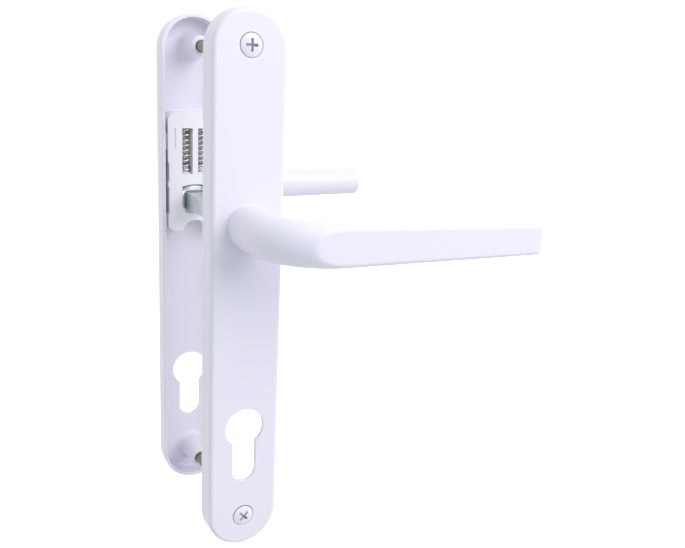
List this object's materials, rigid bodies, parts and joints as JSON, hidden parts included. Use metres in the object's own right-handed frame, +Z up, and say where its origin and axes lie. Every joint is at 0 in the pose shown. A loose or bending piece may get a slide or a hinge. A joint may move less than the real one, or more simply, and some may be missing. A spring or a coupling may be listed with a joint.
{
  "type": "lever handle set for a euro cylinder door",
  "caption": "Sprung lever handles on long backplates with euro-profile cylinder cut-outs, joined through a door by a square spindle and fixing bolts.",
  "frame": {"origin": "on the spindle axis, in the plane where the inside backplate meets the door", "axes": "+X along the levers towards their tips, +Y through the door from the inside backplate to the outside one, +Z up"},
  "size_m": [0.1385, 0.174, 0.24],
  "materials": {
    "white_powder_coat": "smooth semi-gloss white powder coat",
    "white_nylon": "satin moulded nylon",
    "zinc_plated_steel": "bright zinc plate",
    "bolt_steel": "bright zinc plate",
    "spring_wire": "drawn wire",
    "spring_clip_steel": "blackened spring steel",
    "brass_insert": "turned brass"
  },
  "bodies": {
    "plates": {"inside_plate": "white_powder_coat", "outside_plate": "white_powder_coat", "inside_bush": "white_nylon", "outside_bush": "white_nylon", "inside_cassette": "white_nylon", "outside_cassette": "white_nylon", "inside_cassette_cover": "white_nylon", "outside_cassette_cover": "white_nylon", "inside_spring_left": "spring_wire", "inside_spring_right": "spring_wire", "outside_spring_left": "spring_wire", "outside_spring_right": "spring_wire", "upper_bolt": "bolt_steel", "lower_bolt": "bolt_steel", "upper_insert": "brass_insert", "lower_insert": "brass_insert"},
    "levers": {"inside_lever": "white_powder_coat", "outside_lever": "white_powder_coat", "spindle": "zinc_plated_steel", "inside_rocker": "zinc_plated_steel", "outside_rocker": "zinc_plated_steel", "inside_washer": "zinc_plated_steel", "outside_washer": "zinc_plated_steel", "inside_circlip": "spring_clip_steel", "outside_circlip": "spring_clip_steel"},
    "inside_plunger_left": {"inside_plunger_left": "white_nylon"},
    "inside_plunger_right": {"inside_plunger_right": "white_nylon"},
    "outside_plunger_left": {"outside_plunger_left": "white_nylon"},
    "outside_plunger_right": {"outside_plunger_right": "white_nylon"}
  },
  "joints": [
    {"name": "lever_turn", "type": "hinge", "parent": "plates", "child": "levers", "pos_m": [0, 0, 0], "axis": [0, 1, 0], "range_deg": [-40, 40], "stiffness_Nm_per_rad": 2, "springref_deg": -5.73},
    {"name": "inside_left_slide", "type": "slide", "parent": "plates", "child": "inside_plunger_left", "axis": [0, 0, 1], "range_m": [-0.0062, 0.0062], "deforming": ["inside_spring_left"]},
    {"name": "inside_right_slide", "type": "slide", "parent": "plates", "child": "inside_plunger_right", "axis": [0, 0, 1], "range_m": [-0.0062, 0.0062], "deforming": ["inside_spring_right"]},
    {"name": "outside_left_slide", "type": "slide", "parent": "plates", "child": "outside_plunger_left", "axis": [0, 0, 1], "range_m": [-0.0062, 0.0062], "deforming": ["outside_spring_left"]},
    {"name": "outside_right_slide", "type": "slide", "parent": "plates", "child": "outside_plunger_right", "axis": [0, 0, 1], "range_m": [-0.0062, 0.0062], "deforming": ["outside_spring_right"]}
  ],
  "couplings": [
    {"joint": "inside_left_slide", "follows": "lever_turn", "m_per_rad": 0.008833},
    {"joint": "inside_right_slide", "follows": "lever_turn", "m_per_rad": -0.008833},
    {"joint": "outside_left_slide", "follows": "lever_turn", "m_per_rad": 0.008833},
    {"joint": "outside_right_slide", "follows": "lever_turn", "m_per_rad": -0.008833}
  ]
}
